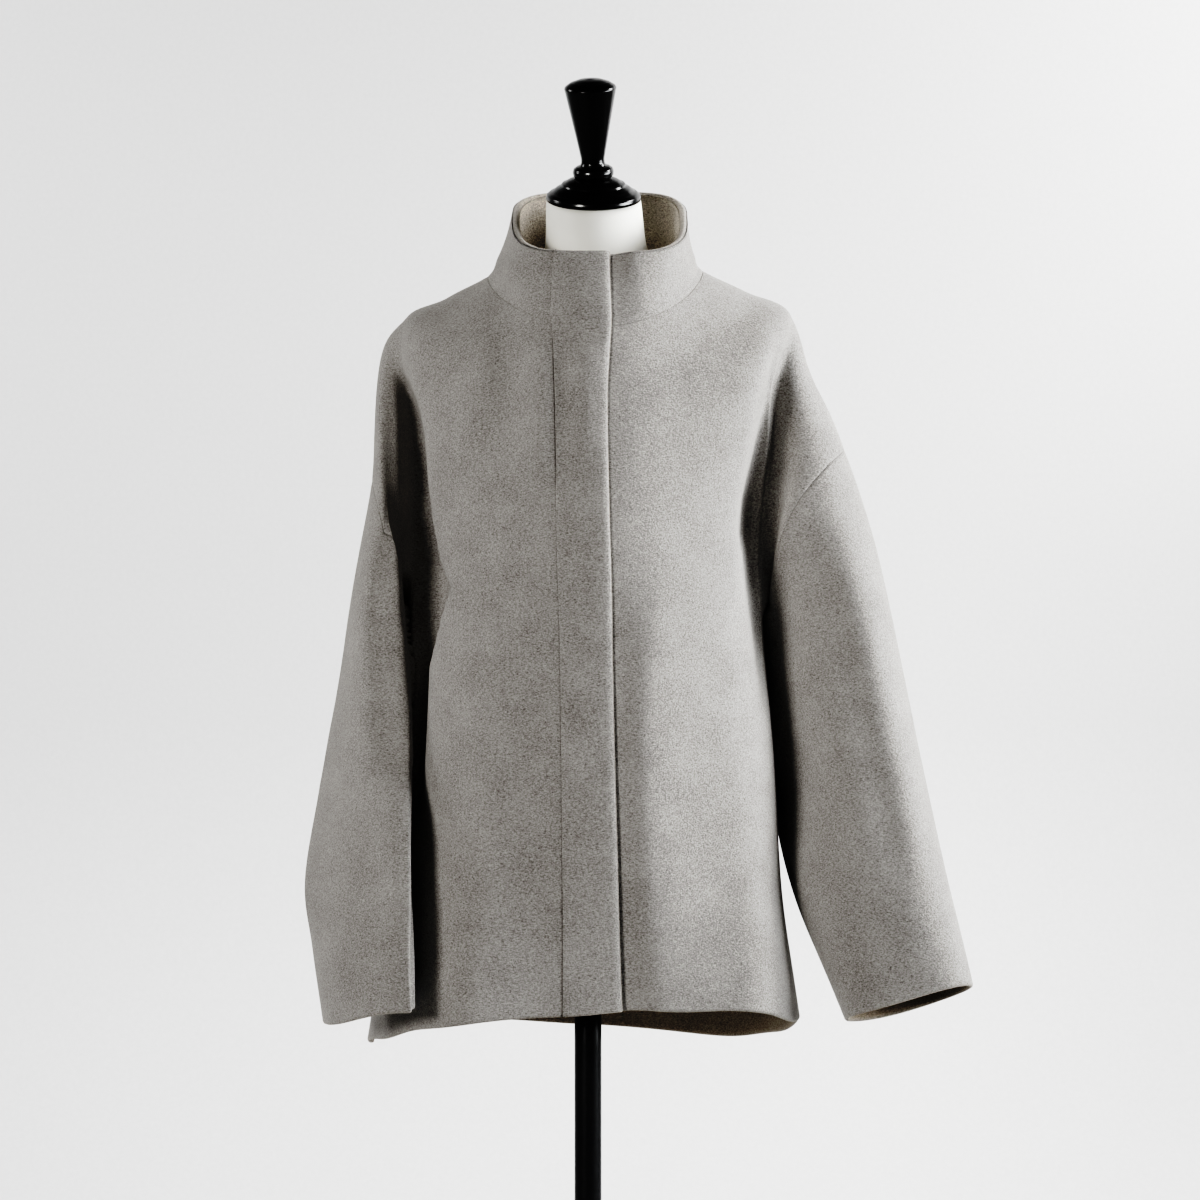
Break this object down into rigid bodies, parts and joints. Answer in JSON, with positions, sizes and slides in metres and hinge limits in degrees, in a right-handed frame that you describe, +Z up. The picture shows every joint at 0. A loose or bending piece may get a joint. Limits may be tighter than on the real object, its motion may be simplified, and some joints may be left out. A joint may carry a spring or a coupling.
{
  "type": "blouson on a dress form stand",
  "caption": "Loose wool blouson with a funnel collar, a covered front band and dropped shoulders, worn by a limbless dress form on a pole stand with a round foot.",
  "frame": {"origin": "middle of the foot's underside, under the pole's axis", "axes": "+Z up along the pole, the coat's front towards -Y, the wearer's left towards +X"},
  "size_m": [0.6549, 0.3687, 1.5906],
  "materials": {
    "wool": "felted melange wool",
    "form_cover": "cream cloth glued over a moulded shell",
    "lacquer": "gloss black lacquer",
    "pole_paint": "satin black",
    "base_paint": "satin black"
  },
  "bodies": {
    "root": {"front_right": "wool", "front_left": "wool", "back": "wool", "sleeve_right": "wool", "sleeve_left": "wool", "collar": "wool", "front_band": "wool", "form_torso": "form_cover", "neck_cap": "lacquer", "finial": "lacquer", "stand_pole": "pole_paint", "stand_base": "base_paint"}
  },
  "joints": []
}
